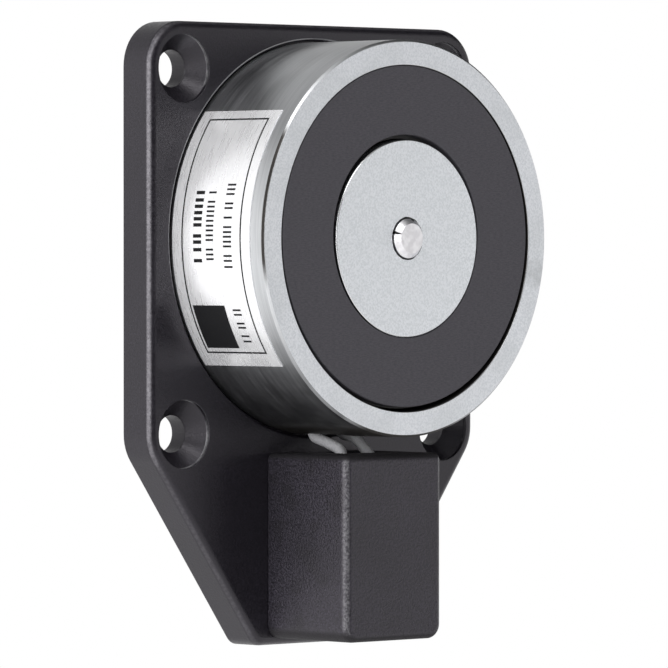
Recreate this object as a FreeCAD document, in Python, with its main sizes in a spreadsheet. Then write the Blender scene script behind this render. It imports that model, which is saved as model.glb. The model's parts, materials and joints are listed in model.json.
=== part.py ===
import FreeCAD, Part
import math
import os
import Sketcher

# Electromagnetic door holder: a pot magnet on a wall plate, with a terminal box below it.
# The magnet's axis is the Y axis and the wall is the plane Y = 0. The front faces -Y and up is +Z.
# A depth is a distance from the wall towards the front, so a point at depth d lies at Y = -d.
# A drop is a distance below the magnet's axis, so a point at drop d lies at Z = -d.

SIZES = {
    # Base plate
    "plate_side_margin": 5,
    "plate_top_margin": 3.1,
    "plate_foot_margin": 1.2,
    "plate_thickness": 7,
    "corner_radius": 8,
    "taper_angle": 36,
    "foot_radius": 3,
    "plate_edge_round": 1.4,
    "seat_depth": 1,
    "seat_gap": 0.3,
    "seat_round": 0.5,
    "pocket_depth": 3,
    "plate_rim": 3,
    "rib_width": 2.4,
    "boss_wall": 5,
    "screw_boss_wall": 1.6,
    # Holes for the wall screws
    "wall_screw_inset": 8.3,
    "wall_screw_rows": 64.1,
    "wall_screw_hole": 6.6,
    "wall_screw_sink": 12.1,
    "wall_screw_recess": 0.65,
    "wall_screw_chamfer": 0.2,
    # Magnet pot and core
    "pot_diameter": 70,
    "pot_length": 24.2,
    "rim_width": 4.5,
    "pot_floor": 6,
    "pot_chamfer": 0.4,
    "edge_break": 0.15,
    "coil_window": 13.13,
    "spigot_diameter": 18,
    "fit_gap": 0.02,
    "mouth_chamfer": 0.2,
    "spring_bore": 8.7,
    "thread_runout": 2.1,
    # Coil and its cover ring
    "ring_play": 0.42,
    "ring_core_gap": 0.5,
    "ring_thickness": 2,
    "ring_recess": 0.15,
    "ring_rest_gap": 0.03,
    "bobbin_gap": 0.2,
    "bobbin_wall": 1,
    "flange_thickness": 1.2,
    "flange_play": 0.5,
    "winding_setback": 1.7,
    "tape_thickness": 0.2,
    "notch_gap": 0.2,
    # Ejector pin and spring
    "pin_diameter": 7,
    "running_gap": 0.08,
    "pin_standout": 1.2,
    "pin_tip_diameter": 5.3,
    "pin_tip_length": 0.9,
    "collar_diameter": 8.4,
    "collar_length": 1.5,
    "pin_tail_diameter": 4.8,
    "pin_tail_length": 1.6,
    "spring_length": 6.6,
    "spring_diameter": 7.6,
    "spring_wire": 0.8,
    "spring_turns": 5,
    # Screw and pin that fix the magnet to the plate
    "magnet_screw_diameter": 10,
    "magnet_screw_head": 18,
    "magnet_screw_reach": 0.9,
    "magnet_screw_inset": 0.4,
    "head_edge": 0.4,
    "screw_gap": 0.05,
    "head_gap": 0.2,
    "drive_width": 2.5,
    "drive_depth": 2.2,
    "dowel_diameter": 3,
    "dowel_length": 5,
    "dowel_offset": 2.6,
    "dowel_end_gap": 0.2,
    # Rating label
    "label_angle": 78.6,
    "label_margin": 0.3,
    "label_front_gap": 3.3,
    "label_thickness": 0.15,
    # Leads from the coil to the terminals; a sag is a drop below the drum's lowest line
    "lead_diameter": 2,
    "lead_spacing": 6.6,
    "lead_gap": 0.3,
    "lead_bend": 1.6,
    "lead_wide_bend": 5,
    "lead_exit_inset": 3.6,
    "lead_run_end": 3.4,
    "lead_tube_reach": 0.6,
    "left_exit_sag": 0.2,
    "left_middle_sag": 1.2,
    "left_entry_sag": 2.5,
    "right_exit_sag": -0.1,
    "right_middle_sag": 0.35,
    "right_entry_sag": 3.8,
    "right_entry_lead": 0.7,
    "conductor_diameter": 1.1,
    "conductor_length": 3.6,
    # Terminal cover
    "cover_depth": 20,
    "cover_gap": 3,
    "cover_wall": 1.6,
    "cable_room": 12,
    "cover_seam": 0.1,
    "cover_edge_round": 1.35,
    "cover_top_round": 1.3,
    "cover_foot_round": 2.6,
    "hook_offset": 2,
    "hook_width": 6,
    "hook_thickness": 1.4,
    "hook_catch": 0.8,
    "hook_tip_length": 1.2,
    "hook_gap": 0.15,
    # Terminal block, its tubes and screws
    "block_offset": 14,
    "block_side_gap": 2.3,
    "block_side_wall": 1.8,
    "block_height": 14,
    "block_depth": 12,
    "block_side_round": 1,
    "pole_gap": 0.55,
    "pole_depth": 5.5,
    "tube_diameter": 4.4,
    "tube_bore": 3,
    "tube_inset": 1,
    "tube_gap": 0.05,
    "terminal_screw_diameter": 2.5,
    "terminal_screw_head": 3.4,
    "terminal_screw_head_length": 1.4,
    "terminal_screw_spacing": 7,
    "terminal_screw_inset": 0.6,
    "screw_well": 3.8,
    "small_drive_width": 0.6,
    "small_drive_depth": 0.7,
    "block_screw_diameter": 2.5,
    "block_screw_head": 4.4,
    "block_screw_head_length": 1.6,
    "block_screw_inset": 2.4,
    # Suppression diode across the terminals
    "diode_diameter": 2.6,
    "diode_length": 5,
    "diode_gap": 2.2,
    "diode_lead_diameter": 0.7,
    "diode_lead_bend": 0.9,
    "diode_lead_entry": 3,
    # Cable grommet
    "cable_gap": 5.2,
    "grommet_bore": 5.2,
    "grommet_waist": 7.8,
    "grommet_flange": 9.6,
    "grommet_lip": 1.2,
    "grommet_gap": 0.05,
}

PLACES = {
    # Depths of the magnet's faces
    "seat": "sizes.plate_thickness - sizes.seat_depth",
    "floor": "places.seat + sizes.pot_floor",
    "face": "places.seat + sizes.pot_length",
    "ring_back": "places.face - sizes.ring_recess - sizes.ring_thickness",
    "winding_back": "places.floor + sizes.flange_thickness",
    "winding_front": "places.ring_back - sizes.flange_thickness",
    # Depths along the magnet's screw, the spring and the pin
    "screw_tip": "places.floor + sizes.magnet_screw_reach",
    "thread_end": "places.screw_tip + sizes.thread_runout",
    "collar_back": "places.screw_tip + sizes.spring_length",
    "guide_end": "places.collar_back + sizes.collar_length",
    # Radii round the magnet's axis
    "pot_radius": "sizes.pot_diameter / 2",
    "bore_radius": "places.pot_radius - sizes.rim_width",
    "core_radius": "places.bore_radius - sizes.coil_window",
    "guide_radius": "sizes.pin_diameter / 2 + sizes.running_gap",
    "bobbin_inner": "places.core_radius + sizes.bobbin_gap",
    "bobbin_outer": "places.bobbin_inner + sizes.bobbin_wall",
    "flange_radius": "places.bore_radius - sizes.flange_play",
    "winding_radius": "places.flange_radius - sizes.winding_setback",
    "tape_radius": "places.winding_radius + sizes.tape_thickness",
    "dowel_rise": "sizes.spigot_diameter / 2 + sizes.dowel_offset",
    # Terminal block, below the magnet
    "cover_top": "places.pot_radius + sizes.cover_gap",
    "block_centre": "places.cover_top + sizes.block_offset",
    "block_top": "places.block_centre - sizes.block_height / 2",
    "block_foot": "places.block_centre + sizes.block_height / 2",
    "block_front": "sizes.plate_thickness + sizes.block_depth",
    "pole": "(sizes.block_screw_diameter + sizes.tube_diameter) / 2 + sizes.pole_gap",
    "block_side": "places.pole + sizes.tube_diameter / 2 + sizes.block_side_wall",
    "pole_axis": "sizes.plate_thickness + sizes.pole_depth",
    "tube_top": "places.block_top + sizes.tube_inset",
    "tube_foot": "places.block_foot - sizes.tube_inset",
    "diode_drop": "places.block_foot + sizes.diode_gap",
    "cable_drop": "places.block_foot + sizes.cable_gap",
    # Terminal cover round the block, and the leads into it
    "cover_back": "sizes.plate_thickness + sizes.cover_seam",
    "cover_front": "sizes.plate_thickness + sizes.cover_depth",
    "cover_bottom": "places.block_foot + sizes.cable_room",
    "cover_side": "places.block_side + sizes.block_side_gap + sizes.cover_wall",
    "hook_side": "places.cover_side - 2 * sizes.hook_gap",
    "hook_drop": "places.block_centre + sizes.hook_offset",
    "lead_exit": "places.seat + sizes.lead_exit_inset",
    "lead_entry": "sizes.plate_thickness + sizes.cover_depth / 2",
    "lead_room": "sizes.lead_diameter / 2 + sizes.lead_gap",
    "lead_side": "sizes.lead_spacing / 2 + places.lead_room",
    # Outline of the plate, and of the pocket in its back
    "half_width": "places.pot_radius + sizes.plate_side_margin",
    "plate_rise": "places.pot_radius + sizes.plate_top_margin",
    "plate_drop": "places.cover_bottom + sizes.plate_foot_margin",
    "screw_column": "places.half_width - sizes.corner_radius",
    "screw_rise": "places.plate_rise - sizes.wall_screw_inset",
    "screw_drop": "sizes.wall_screw_rows - places.screw_rise",
    "shoulder": "places.screw_drop + sizes.corner_radius * tan(sizes.taper_angle * 0.5deg)",
    "foot": "places.half_width - (places.plate_drop - places.shoulder) * tan(sizes.taper_angle * 1deg)",
    "inner_side": "places.half_width - sizes.plate_rim",
    "inner_rise": "places.plate_rise - sizes.plate_rim",
    "inner_drop": "places.plate_drop - sizes.plate_rim",
    "inner_shoulder": "places.shoulder - sizes.plate_rim * tan(sizes.taper_angle * 0.5deg)",
    "inner_foot": "places.inner_side - (places.inner_drop - places.inner_shoulder)"
                  " * tan(sizes.taper_angle * 1deg)",
}

FRONT = FreeCAD.Vector(0, -1, 0)
DOWN = FreeCAD.Vector(0, 0, -1)
TOWARDS_FRONT = FreeCAD.Rotation(FreeCAD.Vector(1, 0, 0), 90)

doc = FreeCAD.newDocument("door_holder")
pieces = []


def make_sizes():
    """The sheet of driving dimensions, in millimetres and degrees."""
    sheet = doc.addObject("Spreadsheet::Sheet", "sizes")
    for row, (alias, number) in enumerate(SIZES.items(), start=1):
        sheet.set(f"A{row}", alias)
        sheet.set(f"B{row}", str(number))
        sheet.setAlias(f"B{row}", alias)
    doc.recompute()
    return sheet


def make_places():
    """Positions and radii that follow from the driving dimensions."""
    derived = doc.addObject("App::VarSet", "places")
    for name, expression in PLACES.items():
        derived.addProperty("App::PropertyFloat", name)
        derived.setExpression(name, expression)
    doc.recompute()
    return derived


sizes = make_sizes()
places = make_places()


def value(name):
    """Number held by the sheet or by the derived places."""
    return float(getattr(sizes if name in SIZES else places, name))


def keep(piece, label):
    """Names a finished sub-part and lists it for writing."""
    piece.Label = label
    pieces.append(piece)
    return piece


def new_body(label):
    """Empty body of a sub-part."""
    return keep(doc.addObject("PartDesign::Body", f"{label}_body"), label)


def new_sketch(body, name, role, lift="0"):
    """Sketch on one of the body's own planes; XZ sketches face the front and lift is their depth."""
    sketch = body.newObject("Sketcher::SketchObject", name)
    plane = next(item for item in body.Origin.OriginFeatures if item.Role == role)
    sketch.AttachmentSupport = [(plane, "")]
    sketch.MapMode = "FlatFace"
    sketch.setExpression("AttachmentOffset.Base.z", lift)
    return sketch


def tie(sketch, kind, geometry, point, expression):
    """Constrains one coordinate of a sketch point to an expression."""
    index = sketch.addConstraint(Sketcher.Constraint(kind, -1, 1, geometry, point, 1.0))
    sketch.setExpression(f"Constraints[{index}]", expression)


def outline(sketch, corners):
    """Closed polygon whose corners are pairs of expressions."""
    first = sketch.GeometryCount
    count = len(corners)
    turns = [2 * math.pi * step / count for step in range(count)]
    start = [FreeCAD.Vector(math.cos(turn), math.sin(turn), 0) for turn in turns]
    for step in range(count):
        sketch.addGeometry(Part.LineSegment(start[step], start[(step + 1) % count]))
    for step in range(count):
        following = first + (step + 1) % count
        sketch.addConstraint(Sketcher.Constraint("Coincident", first + step, 2, following, 1))
    for step, (across, along) in enumerate(corners):
        tie(sketch, "DistanceX", first + step, 1, across)
        tie(sketch, "DistanceY", first + step, 1, along)
    return sketch


def rectangle(sketch, left, right, low, high):
    """Upright rectangle between four expressions."""
    return outline(sketch, [(left, low), (right, low), (right, high), (left, high)])


def circle(sketch, across, along, diameter):
    """Circle whose centre and diameter are expressions."""
    index = sketch.addGeometry(Part.Circle(FreeCAD.Vector(0, 0, 0), FreeCAD.Vector(0, 0, 1), 1))
    tie(sketch, "DistanceX", index, 3, across)
    tie(sketch, "DistanceY", index, 3, along)
    width = sketch.addConstraint(Sketcher.Constraint("Diameter", index, 2.0))
    sketch.setExpression(f"Constraints[{width}]", diameter)
    return sketch


def pad(body, sketch, length):
    """Pads a sketch along its normal."""
    feature = body.newObject("PartDesign::Pad", f"{sketch.Name}_pad")
    feature.Profile = sketch
    feature.setExpression("Length", length)
    doc.recompute()
    return feature


def pocket(body, sketch, length, forward=False):
    """Cuts a sketch into the body, backwards from its normal unless forward is set."""
    before = body.Shape.Volume
    feature = body.newObject("PartDesign::Pocket", f"{sketch.Name}_pocket")
    feature.Profile = sketch
    feature.Reversed = forward
    feature.setExpression("Length", length)
    doc.recompute()
    if body.Shape.Volume >= before:
        raise RuntimeError(f"{sketch.Name} cuts nothing")
    return feature


def dress(body, kind, base, edges, size_property, expression):
    """Fillet or chamfer on the named edges of the last feature."""
    feature = body.newObject(f"PartDesign::{kind}", f"{body.Name}_{kind}")
    feature.Base = (base, edges)
    feature.setExpression(size_property, expression)
    doc.recompute()
    return feature


def edges_where(feature, test):
    """Names of the feature's edges that pass a test."""
    return [f"Edge{index}" for index, edge in enumerate(feature.Shape.Edges, start=1) if test(edge)]


def near(first, second):
    """Whether two lengths agree."""
    return abs(first - second) < 1e-4


def at_depth(edge, depth):
    """Whether an edge lies wholly at one depth."""
    return near(edge.BoundBox.YMin, -depth) and near(edge.BoundBox.YMax, -depth)


def runs_in_depth(edge):
    """Whether an edge is a straight line towards the front."""
    box = edge.BoundBox
    return box.XLength < 1e-4 and box.ZLength < 1e-4


def turn(body, corners, name="profile"):
    """Turns a profile of (radius, depth) corners about the Y axis."""
    sketch = new_sketch(body, name, "XY_Plane")
    outline(sketch, [(radius, f"-({depth})") for radius, depth in corners])
    feature = body.newObject("PartDesign::Revolution", f"{name}_turned")
    feature.Profile = sketch
    feature.ReferenceAxis = (sketch, ["V_Axis"])
    feature.Angle = 360
    doc.recompute()
    return feature


def groove(body, corners, name):
    """Turns a profile of (radius, depth) corners out of a body."""
    before = body.Shape.Volume
    sketch = new_sketch(body, name, "XY_Plane")
    outline(sketch, [(radius, f"-({depth})") for radius, depth in corners])
    feature = body.newObject("PartDesign::Groove", f"{name}_turned")
    feature.Profile = sketch
    feature.ReferenceAxis = (sketch, ["V_Axis"])
    feature.Angle = 360
    doc.recompute()
    if body.Shape.Volume >= before:
        raise RuntimeError(f"{name} cuts nothing")
    return feature


def make_base_plate():
    """Moulded plate with a tapered foot, the magnet's seat in front and a ribbed pocket behind."""
    body = new_body("base_plate")
    front = new_sketch(body, "plate_outline", "XZ_Plane")
    outline(front, [
        ("-places.half_width", "places.plate_rise"),
        ("places.half_width", "places.plate_rise"),
        ("places.half_width", "-places.shoulder"),
        ("places.foot", "-places.plate_drop"),
        ("-places.foot", "-places.plate_drop"),
        ("-places.half_width", "-places.shoulder"),
    ])
    plate = pad(body, front, "sizes.plate_thickness")
    round_plate_edges(body, plate)

    seat = new_sketch(body, "magnet_seat", "XZ_Plane", "sizes.plate_thickness")
    circle(seat, "0", "0", "sizes.pot_diameter + 2 * sizes.seat_gap")
    cut = pocket(body, seat, "sizes.seat_depth")
    seat_radius = value("pot_radius") + value("seat_gap")
    rim = edges_where(cut, lambda edge: at_depth(edge, value("plate_thickness"))
                      and near(edge.BoundBox.XLength, 2 * seat_radius))
    dress(body, "Fillet", cut, rim, "Radius", "sizes.seat_round")

    hollow_plate_back(body)
    drill_wall_screw_holes(body)
    cut_plate_openings(body)
    return body


def round_plate_edges(body, plate):
    """Rounds the outline's corners, then the front edge all the way round."""
    drop = value("plate_drop")
    upper = edges_where(plate, lambda edge: runs_in_depth(edge) and not near(edge.BoundBox.ZMin, -drop))
    corners = dress(body, "Fillet", plate, upper, "Radius", "sizes.corner_radius")
    foot = edges_where(corners, lambda edge: runs_in_depth(edge) and near(edge.BoundBox.ZMin, -drop))
    feet = dress(body, "Fillet", corners, foot, "Radius", "sizes.foot_radius")
    front = edges_where(feet, lambda edge: at_depth(edge, value("plate_thickness")))
    dress(body, "Fillet", feet, front, "Radius", "sizes.plate_edge_round")


def hollow_plate_back(body):
    """Shallow pocket in the back, with bosses round the screws and ribs between them."""
    back = new_sketch(body, "back_pocket", "XZ_Plane")
    outline(back, [
        ("-places.inner_side", "places.inner_rise"),
        ("places.inner_side", "places.inner_rise"),
        ("places.inner_side", "-places.inner_shoulder"),
        ("places.inner_foot", "-places.inner_drop"),
        ("-places.inner_foot", "-places.inner_drop"),
        ("-places.inner_side", "-places.inner_shoulder"),
    ])
    pocket(body, back, "sizes.pocket_depth", forward=True)

    bosses = new_sketch(body, "bosses", "XZ_Plane")
    for across, along in wall_screw_centres():
        circle(bosses, across, along, "sizes.wall_screw_sink + 2 * sizes.screw_boss_wall")
    circle(bosses, "0", "0", "sizes.magnet_screw_head + 2 * sizes.boss_wall")
    pad(body, bosses, "sizes.pocket_depth")

    for name, left, right, low, high in (
        ("cross_rib", "-places.inner_side", "places.inner_side",
         "-sizes.rib_width / 2", "sizes.rib_width / 2"),
        ("upright_rib", "-sizes.rib_width / 2", "sizes.rib_width / 2",
         "0", "places.inner_rise"),
        ("low_rib", "-places.inner_side", "places.inner_side",
         "-places.screw_drop - sizes.rib_width / 2", "-places.screw_drop + sizes.rib_width / 2"),
    ):
        rib = new_sketch(body, name, "XZ_Plane")
        rectangle(rib, left, right, low, high)
        pad(body, rib, "sizes.pocket_depth")


def wall_screw_centres():
    """Expressions for the four wall screws' places on the plate."""
    return [
        (f"{side}places.screw_column", row)
        for side in ("-", "")
        for row in ("places.screw_rise", "-places.screw_drop")
    ]


def drill_wall_screw_holes(body):
    """Holes for the wall screws, sunk a little below the face and chamfered at the wall."""
    floor = "sizes.plate_thickness - sizes.wall_screw_recess"
    recess = new_sketch(body, "wall_screw_recesses", "XZ_Plane", "sizes.plate_thickness")
    spots = new_sketch(body, "wall_screw_spots", "XZ_Plane", floor)
    for across, along in wall_screw_centres():
        circle(recess, across, along, "sizes.wall_screw_sink")
        circle(spots, across, along, "sizes.wall_screw_hole")
    pocket(body, recess, "sizes.wall_screw_recess")
    doc.recompute()
    before = body.Shape.Volume
    hole = body.newObject("PartDesign::Hole", "wall_screw_holes")
    hole.Profile = spots
    hole.DepthType = "ThroughAll"
    hole.HoleCutType = "Countersink"
    hole.HoleCutCustomValues = True
    hole.HoleCutCountersinkAngle = 90
    hole.setExpression("Diameter", "sizes.wall_screw_hole")
    hole.setExpression("HoleCutDiameter", "sizes.wall_screw_sink")
    doc.recompute()
    if body.Shape.Volume >= before:
        raise RuntimeError("the wall screw holes cut nothing")
    back = edges_where(hole, lambda edge: at_depth(edge, 0)
                       and near(edge.BoundBox.XLength, value("wall_screw_hole")))
    dress(body, "Chamfer", hole, back, "Size", "sizes.wall_screw_chamfer")


def cut_plate_openings(body):
    """Holes for the magnet's screw and dowel, the cable, the block's screw and the cover's hooks."""
    sink = "sizes.magnet_screw_head / 2 + sizes.head_gap"
    clear = "sizes.magnet_screw_diameter / 2 + sizes.head_gap"
    rim = "sizes.magnet_screw_inset + sizes.head_edge"
    groove(body, [
        ("0", "0"),
        (sink, "0"),
        (sink, rim),
        (clear, f"{rim} + ({sink}) - ({clear})"),
        (clear, "places.seat"),
        ("0", "places.seat"),
    ], "magnet_screw_hole")

    dowel = new_sketch(body, "dowel_hole", "XZ_Plane", "places.seat")
    circle(dowel, "0", "places.dowel_rise", "sizes.dowel_diameter + 2 * sizes.fit_gap")
    pocket(body, dowel, "sizes.dowel_length / 2 + sizes.dowel_end_gap")

    through = new_sketch(body, "cable_and_block_holes", "XZ_Plane", "sizes.plate_thickness")
    circle(through, "0", "-places.cable_drop", "sizes.grommet_waist + 2 * sizes.grommet_gap")
    circle(through, "0", "-places.block_centre", "sizes.block_screw_diameter + 2 * sizes.fit_gap")
    pocket(body, through, "sizes.plate_thickness")

    for side, name in (("-", "left"), ("", "right")):
        slot = new_sketch(body, f"hook_slot_{name}", "XZ_Plane", "sizes.plate_thickness")
        inner = f"{side}(places.hook_side - sizes.hook_thickness - sizes.hook_catch - sizes.hook_gap)"
        outer = f"{side}(places.hook_side + sizes.hook_gap)"
        low = "-places.hook_drop - sizes.hook_width / 2 - sizes.hook_gap"
        high = "-places.hook_drop + sizes.hook_width / 2 + sizes.hook_gap"
        rectangle(slot, inner, outer, low, high)
        pocket(body, slot, "sizes.plate_thickness")


def make_terminal_cover():
    """Moulded box clipped over the terminals, with a notch for the leads."""
    body = new_body("terminal_cover")
    front = new_sketch(body, "cover_outline", "XZ_Plane", "places.cover_back")
    rectangle(front, "-places.cover_side", "places.cover_side", "-places.cover_bottom", "-places.cover_top")
    box = pad(body, front, "places.cover_front - places.cover_back")
    top = -value("cover_top")
    upper = edges_where(box, lambda edge: runs_in_depth(edge) and near(edge.BoundBox.ZMin, top))
    tops = dress(body, "Fillet", box, upper, "Radius", "sizes.cover_top_round")
    bottom = -value("cover_bottom")
    lower = edges_where(tops, lambda edge: runs_in_depth(edge) and near(edge.BoundBox.ZMin, bottom))
    feet = dress(body, "Fillet", tops, lower, "Radius", "sizes.cover_foot_round")
    rim = edges_where(feet, lambda edge: at_depth(edge, value("cover_front")))
    dress(body, "Fillet", feet, rim, "Radius", "sizes.cover_edge_round")

    inside = new_sketch(body, "cover_inside", "XZ_Plane", "places.cover_back")
    rectangle(inside,
              "-places.cover_side + sizes.cover_wall", "places.cover_side - sizes.cover_wall",
              "-places.cover_bottom + sizes.cover_wall", "-places.cover_top - sizes.cover_wall")
    pocket(body, inside, "places.cover_front - places.cover_back - sizes.cover_wall", forward=True)

    notch = new_sketch(body, "lead_notch", "XZ_Plane", "places.cover_back")
    rectangle(notch, "-places.lead_side", "places.lead_side",
              "-places.cover_top - 2 * sizes.cover_wall", "-places.cover_top")
    reach = "places.lead_entry + sizes.right_entry_lead + places.lead_room - places.cover_back"
    pocket(body, notch, reach, forward=True)
    add_cover_hooks(body)
    return body


def add_cover_hooks(body):
    """Snap hooks that run through the plate and catch behind its web."""
    low = "-places.hook_drop - sizes.hook_width / 2"
    high = "-places.hook_drop + sizes.hook_width / 2"
    for side, name in (("-", "left"), ("", "right")):
        catch_depth = "sizes.pocket_depth - sizes.hook_gap"
        leg = new_sketch(body, f"hook_leg_{name}", "XZ_Plane", f"{catch_depth} - sizes.hook_tip_length")
        inner = f"{side}(places.hook_side - sizes.hook_thickness)"
        rectangle(leg, inner, f"{side}places.hook_side", low, high)
        pad(body, leg, f"places.cover_back + sizes.cover_wall - ({catch_depth} - sizes.hook_tip_length)")
        catch = new_sketch(body, f"hook_catch_{name}", "XZ_Plane", f"{catch_depth} - sizes.hook_tip_length")
        rectangle(catch, f"{side}(places.hook_side - sizes.hook_thickness - sizes.hook_catch)",
                  f"{side}(places.hook_side - sizes.hook_thickness / 2)", low, high)
        pad(body, catch, "sizes.hook_tip_length")


def make_magnet_pot():
    """Turned cup with a milled window for the leads and a hole for the dowel."""
    body = new_body("magnet_pot")
    spigot = "sizes.spigot_diameter / 2"
    turn(body, [
        (spigot, "places.seat"),
        ("places.pot_radius - sizes.pot_chamfer", "places.seat"),
        ("places.pot_radius", "places.seat + sizes.pot_chamfer"),
        ("places.pot_radius", "places.face - sizes.pot_chamfer"),
        ("places.pot_radius - sizes.pot_chamfer", "places.face"),
        ("places.bore_radius + sizes.edge_break", "places.face"),
        ("places.bore_radius", "places.face - sizes.edge_break"),
        ("places.bore_radius", "places.floor"),
        (spigot, "places.floor"),
    ])
    window = body.newObject("PartDesign::SubtractiveBox", "lead_window")
    window.setExpression("Length", "2 * places.lead_side")
    window.setExpression("Width", "places.lead_entry - places.lead_exit + 2 * places.lead_room")
    window.setExpression("Height", "places.pot_radius - places.winding_radius + sizes.lead_diameter")
    window.setExpression("Placement.Base.x", "-places.lead_side")
    window.setExpression("Placement.Base.y", "-(places.lead_entry + places.lead_room)")
    window.setExpression("Placement.Base.z", "-places.pot_radius - sizes.lead_diameter / 2")
    doc.recompute()

    dowel = new_sketch(body, "dowel_hole", "XZ_Plane", "places.seat")
    circle(dowel, "0", "places.dowel_rise", "sizes.dowel_diameter + 2 * sizes.fit_gap")
    pocket(body, dowel, "sizes.dowel_length / 2 + sizes.dowel_end_gap", forward=True)
    return body


def make_magnet_core():
    """Turned core on a spigot, bored for the pin, the spring and the magnet's screw."""
    body = new_body("magnet_core")
    spigot = "sizes.spigot_diameter / 2 - sizes.fit_gap"
    thread = "sizes.magnet_screw_diameter / 2"
    bore = "sizes.spring_bore / 2"
    turn(body, [
        ("places.guide_radius + sizes.mouth_chamfer", "places.face"),
        ("places.core_radius - sizes.edge_break", "places.face"),
        ("places.core_radius", "places.face - sizes.edge_break"),
        ("places.core_radius", "places.floor"),
        (spigot, "places.floor"),
        (spigot, "places.seat"),
        (thread, "places.seat"),
        (thread, "places.thread_end"),
        (bore, "places.thread_end"),
        (bore, "places.guide_end"),
        ("places.guide_radius", "places.guide_end"),
        ("places.guide_radius", "places.face - sizes.mouth_chamfer"),
    ])
    return body


def make_coil_bobbin():
    """Moulded bobbin, with a notch in its rear flange for the two leads."""
    body = new_body("coil_bobbin")
    flange = "places.flange_radius"
    turn(body, [
        ("places.bobbin_inner", "places.floor"),
        (flange, "places.floor"),
        (flange, "places.winding_back"),
        ("places.bobbin_outer", "places.winding_back"),
        ("places.bobbin_outer", "places.winding_front"),
        (flange, "places.winding_front"),
        (flange, "places.ring_back"),
        ("places.bobbin_inner", "places.ring_back"),
    ])
    notch = new_sketch(body, "flange_notch", "XZ_Plane", "places.winding_back")
    side = "(sizes.lead_spacing + sizes.lead_diameter) / 2 + sizes.notch_gap"
    rectangle(notch, f"-({side})", side, "-places.bore_radius", "-places.winding_radius")
    pocket(body, notch, "sizes.flange_thickness")
    return body


def make_ring(label, inner, outer, back, front):
    """Plain annular piece round the magnet's axis."""
    body = new_body(label)
    turn(body, [(inner, back), (outer, back), (outer, front), (inner, front)])
    return body


def make_coil_winding():
    """Wound copper, as one ring between the bobbin's flanges."""
    return make_ring("coil_winding", "places.bobbin_outer + sizes.fit_gap", "places.winding_radius",
                     "places.winding_back", "places.winding_front")


def make_winding_tape():
    """Insulating tape round the winding."""
    return make_ring("winding_tape", "places.winding_radius + sizes.fit_gap", "places.tape_radius",
                     "places.winding_back", "places.winding_front")


def make_cover_ring():
    """Loose annular plate over the coil, pushed up in its clearance."""
    body = new_body("cover_ring")
    front = "places.face - sizes.ring_recess"
    inner = "places.core_radius + sizes.ring_core_gap"
    outer = "places.bore_radius - sizes.ring_play"
    turn(body, [
        (inner, "places.ring_back"),
        (outer, "places.ring_back"),
        (outer, f"{front} - sizes.edge_break"),
        (f"{outer} - sizes.edge_break", front),
        (f"{inner} + sizes.edge_break", front),
        (inner, f"{front} - sizes.edge_break"),
    ])
    body.setExpression("Placement.Base.z", "sizes.ring_play - sizes.ring_rest_gap")
    return body


def make_ejector_pin():
    """Stepped pin, held in the core by its collar."""
    body = new_body("ejector_pin")
    shank = "sizes.pin_diameter / 2"
    tip = "places.face + sizes.pin_standout"
    tail = "sizes.pin_tail_diameter / 2"
    turn(body, [
        ("0", "places.collar_back - sizes.pin_tail_length"),
        (tail, "places.collar_back - sizes.pin_tail_length"),
        (tail, "places.collar_back"),
        ("sizes.collar_diameter / 2", "places.collar_back"),
        ("sizes.collar_diameter / 2", "places.guide_end"),
        (shank, "places.guide_end"),
        (shank, f"{tip} - sizes.pin_tip_length"),
        ("sizes.pin_tip_diameter / 2", tip),
        ("0", tip),
    ])
    return body


def make_ejector_spring():
    """Compression spring between the magnet's screw and the pin's collar."""
    coil = doc.addObject("Part::Helix", "spring_path")
    coil.setExpression("Radius", "(sizes.spring_diameter - sizes.spring_wire) / 2")
    height = "sizes.spring_length - sizes.spring_wire - 2 * sizes.fit_gap"
    coil.setExpression("Height", height)
    coil.setExpression("Pitch", f"({height}) / sizes.spring_turns")
    wire = doc.addObject("Part::Circle", "spring_section")
    wire.setExpression("Radius", "sizes.spring_wire / 2")
    wire.setExpression("Placement.Base.x", "(sizes.spring_diameter - sizes.spring_wire) / 2")
    wire.Placement.Rotation = TOWARDS_FRONT
    doc.recompute()
    spring = doc.addObject("Part::Sweep", "spring_sweep")
    spring.Sections = [wire]
    spring.Spine = (coil, ["Edge1"])
    spring.Solid = True
    spring.Frenet = True
    spring.Placement.Rotation = TOWARDS_FRONT
    spring.setExpression("Placement.Base.y", "-(places.screw_tip + sizes.spring_wire / 2 + sizes.fit_gap)")
    return keep(spring, "ejector_spring")


def make_magnet_fixing_screw():
    """Slotted countersunk screw from the wall side into the core."""
    body = new_body("magnet_fixing_screw")
    head = "sizes.magnet_screw_head / 2"
    shank = "sizes.magnet_screw_diameter / 2 - sizes.screw_gap"
    back = "sizes.magnet_screw_inset"
    turn(body, [
        ("0", back),
        (head, back),
        (head, f"{back} + sizes.head_edge"),
        (shank, f"{back} + sizes.head_edge + {head} - ({shank})"),
        (shank, "places.screw_tip"),
        ("0", "places.screw_tip"),
    ])
    drive = new_sketch(body, "drive_slot", "XZ_Plane", back)
    rectangle(drive, f"-{head}", head, "-sizes.drive_width / 2", "sizes.drive_width / 2")
    pocket(body, drive, "sizes.drive_depth", forward=True)
    return body


def make_locating_pin():
    """Dowel between the plate and the pot's floor."""
    dowel = doc.addObject("Part::Cylinder", "dowel")
    dowel.setExpression("Radius", "sizes.dowel_diameter / 2")
    dowel.setExpression("Height", "sizes.dowel_length")
    dowel.Placement.Rotation = TOWARDS_FRONT
    dowel.setExpression("Placement.Base.y", "-(places.seat - sizes.dowel_length / 2)")
    dowel.setExpression("Placement.Base.z", "places.dowel_rise")
    return keep(dowel, "locating_pin")


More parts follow.
